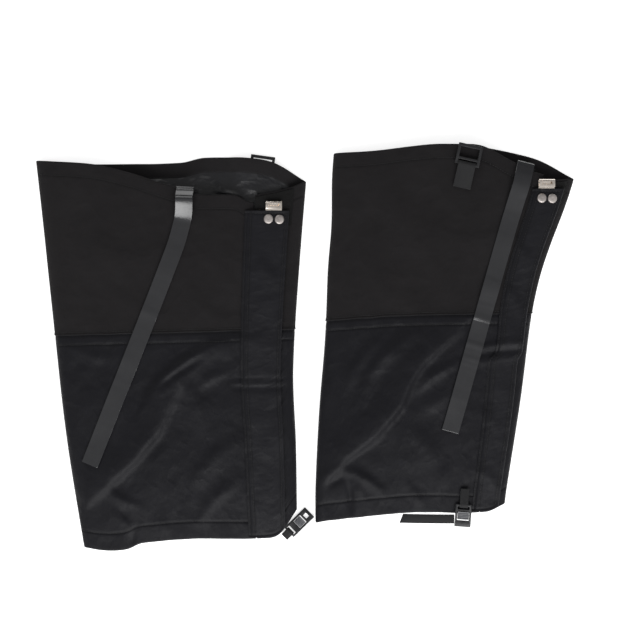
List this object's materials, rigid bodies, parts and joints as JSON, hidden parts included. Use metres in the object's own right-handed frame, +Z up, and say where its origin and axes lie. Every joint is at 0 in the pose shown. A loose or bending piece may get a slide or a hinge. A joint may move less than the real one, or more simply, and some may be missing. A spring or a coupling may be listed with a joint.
{
  "type": "hiking gaiters",
  "caption": "Pair of knee-high hiking gaiters laid flat: cloth leg tubes with storm flaps, lace hooks, instep straps and webbing buckles.",
  "frame": {"origin": "middle of the pair's footprint on the floor, with the left gaiter at -X", "axes": "+X from the left gaiter to the right one, +Y to the boot ends, +Z up off the floor"},
  "size_m": [0.594, 0.448, 0.0269],
  "materials": {
    "boot_cloth": "matt heavy woven cloth",
    "calf_nylon": "light coated nylon with a soft sheen",
    "lining": "shiny coated lining",
    "webbing": "woven nylon webbing",
    "hook_and_loop": "fuzzy tape",
    "elastic": "ribbed elastic",
    "buckle_plastic": "moulded, slightly glossy",
    "cam_plastic": "ribbed grey moulding",
    "nickel": "nickel plated, polished"
  },
  "bodies": {
    "left_gaiter": {"left_ankle_elastic": "elastic", "left_boot_hem_back": "boot_cloth", "left_boot_hem_front": "boot_cloth", "left_boot_lining": "lining", "left_boot_panel_back": "boot_cloth", "left_boot_panel_front": "boot_cloth", "left_buckle_tab": "webbing", "left_calf_buckle_frame": "buckle_plastic", "left_calf_buckle_loop": "webbing", "left_calf_hem_facing_back": "calf_nylon", "left_calf_hem_facing_front": "calf_nylon", "left_calf_panel_back": "calf_nylon", "left_calf_panel_front": "calf_nylon", "left_draw_strap_back": "webbing", "left_draw_strap_front": "webbing", "left_flap_root": "calf_nylon", "left_instep_strap_root": "webbing", "left_loop_tape": "hook_and_loop", "left_placket": "calf_nylon", "left_seam_tape": "hook_and_loop", "left_strap_anchor_patch": "boot_cloth"},
    "right_gaiter": {"right_ankle_elastic": "elastic", "right_boot_hem_back": "boot_cloth", "right_boot_hem_front": "boot_cloth", "right_boot_lining": "lining", "right_boot_panel_back": "boot_cloth", "right_boot_panel_front": "boot_cloth", "right_buckle_tab": "webbing", "right_calf_buckle_frame": "buckle_plastic", "right_calf_buckle_loop": "webbing", "right_calf_hem_facing_back": "calf_nylon", "right_calf_hem_facing_front": "calf_nylon", "right_calf_panel_back": "calf_nylon", "right_calf_panel_front": "calf_nylon", "right_draw_strap_back": "webbing", "right_draw_strap_front": "webbing", "right_flap_root": "calf_nylon", "right_instep_strap_root": "webbing", "right_loop_tape": "hook_and_loop", "right_placket": "calf_nylon", "right_seam_tape": "hook_and_loop", "right_strap_anchor_patch": "boot_cloth"},
    "left_storm_flap": {"left_hook_tape": "hook_and_loop", "left_lace_hook": "nickel", "left_rivet_inner": "nickel", "left_rivet_outer": "nickel", "left_storm_flap": "calf_nylon"},
    "left_free_strap": {"left_instep_strap": "webbing"},
    "left_ladder_buckle": {"left_strap_buckle": "buckle_plastic"},
    "left_cam_lever": {"left_calf_buckle_cam": "cam_plastic"},
    "right_storm_flap": {"right_hook_tape": "hook_and_loop", "right_lace_hook": "nickel", "right_rivet_inner": "nickel", "right_rivet_outer": "nickel", "right_storm_flap": "calf_nylon"},
    "right_free_strap": {"right_instep_strap": "webbing"},
    "right_ladder_buckle": {"right_strap_buckle": "buckle_plastic"},
    "right_cam_lever": {"right_calf_buckle_cam": "cam_plastic"},
    "right_strap_tail": {"right_draw_strap_tail": "webbing"}
  },
  "joints": [
    {"name": "right_gaiter_lift", "type": "slide", "parent": "left_gaiter", "child": "right_gaiter", "axis": [0, 0, 1], "range_m": [0, 0.25]},
    {"name": "left_flap_hinge", "type": "hinge", "parent": "left_gaiter", "child": "left_storm_flap", "pos_m": [-0.07048, -0.03019, 0.02108], "axis": [0.0123, -0.9999, 0], "range_deg": [0, 105]},
    {"name": "left_strap_hinge", "type": "hinge", "parent": "left_gaiter", "child": "left_free_strap", "pos_m": [-0.13116, 0.17594, 0.01756], "axis": [-0.9984, 0.0561, 0.0113], "range_deg": [0, 150]},
    {"name": "left_strap_buckle_hinge", "type": "hinge", "parent": "left_gaiter", "child": "left_ladder_buckle", "pos_m": [-0.04913, 0.18915, 0.00316], "axis": [0.9903, -0.1392, 0], "range_deg": [0, 18]},
    {"name": "left_cam_hinge", "type": "hinge", "parent": "left_gaiter", "child": "left_cam_lever", "pos_m": [-0.00872, -0.1967, 0.00528], "axis": [0.6997, -0.7145, 0], "range_deg": [0, 60]},
    {"name": "right_flap_hinge", "type": "hinge", "parent": "right_gaiter", "child": "right_storm_flap", "pos_m": [0.20605, -0.00143, 0.01977], "axis": [-0.1793, -0.9838, 0], "range_deg": [0, 105]},
    {"name": "right_strap_hinge", "type": "hinge", "parent": "right_gaiter", "child": "right_free_strap", "pos_m": [0.24302, 0.20286, 0.01421], "axis": [-0.9687, 0.2404, 0.0615], "range_deg": [0, 150]},
    {"name": "right_strap_buckle_hinge", "type": "hinge", "parent": "right_gaiter", "child": "right_ladder_buckle", "pos_m": [0.17736, 0.19965, 0.02175], "axis": [0.9763, -0.2164, 0], "range_deg": [0, 110]},
    {"name": "right_cam_hinge", "type": "hinge", "parent": "right_gaiter", "child": "right_cam_lever", "pos_m": [0.17388, -0.18102, 0.01969], "axis": [-0.9976, 0.0698, 0], "range_deg": [0, 60]},
    {"name": "right_tail_hinge", "type": "hinge", "parent": "right_gaiter", "child": "right_strap_tail", "pos_m": [0.16389, -0.18895, 0.01741], "axis": [0, 1, 0], "range_deg": [0, 60]}
  ]
}
